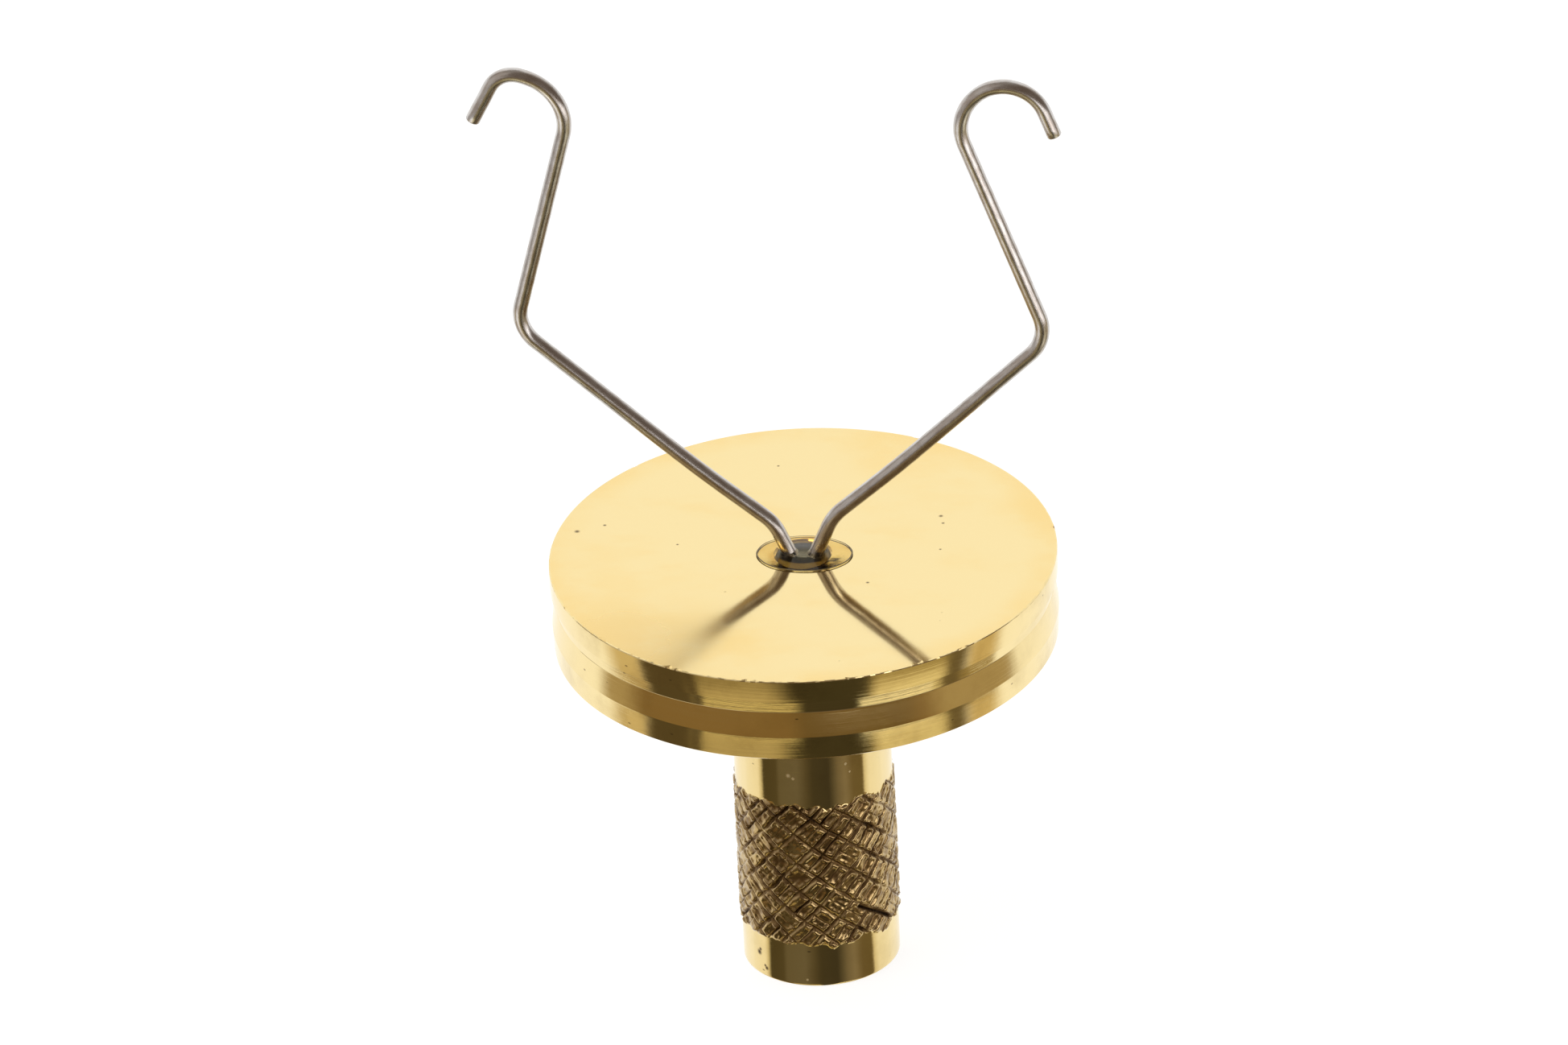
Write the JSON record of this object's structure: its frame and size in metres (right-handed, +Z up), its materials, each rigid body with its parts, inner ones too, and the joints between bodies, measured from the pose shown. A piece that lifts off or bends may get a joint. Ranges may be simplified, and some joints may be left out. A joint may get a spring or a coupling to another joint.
{
  "type": "dubbing twister",
  "caption": "Finger-spun thread twister: a brass flywheel on a knurled stem, with two sprung wire hooks that hold a loop of thread open.",
  "frame": {"origin": "centre of the flat end of the stem, on which the tool stands", "axes": "+Z up along the stem and flywheel axis, the two wire hooks lie in the XZ plane, one on the -X side and one on the +X side"},
  "size_m": [0.0299, 0.0254, 0.0502],
  "materials": {
    "wheel_brass": "polished top face, fine turning marks on the rim",
    "stem_brass": "bright turned, knurled band with brown patina in its grooves",
    "spring_wire": "satin drawn spring wire",
    "glue": "glossy amber glue bead"
  },
  "bodies": {
    "base": {"flywheel": "wheel_brass", "handle": "stem_brass", "adhesive": "glue", "left_wire_root": "spring_wire", "right_wire_root": "spring_wire"},
    "left_hook": {"left_arm": "spring_wire"},
    "right_hook": {"right_arm": "spring_wire"}
  },
  "joints": [
    {"name": "left_flex", "type": "hinge", "parent": "base", "child": "left_hook", "pos_m": [-0.00105, 0, 0.0237], "axis": [0, 1, 0], "range_deg": [-6, 16], "stiffness_Nm_per_rad": 0.25},
    {"name": "right_flex", "type": "hinge", "parent": "base", "child": "right_hook", "pos_m": [0.00105, 0, 0.0237], "axis": [0, -1, 0], "range_deg": [-6, 16], "stiffness_Nm_per_rad": 0.25}
  ]
}
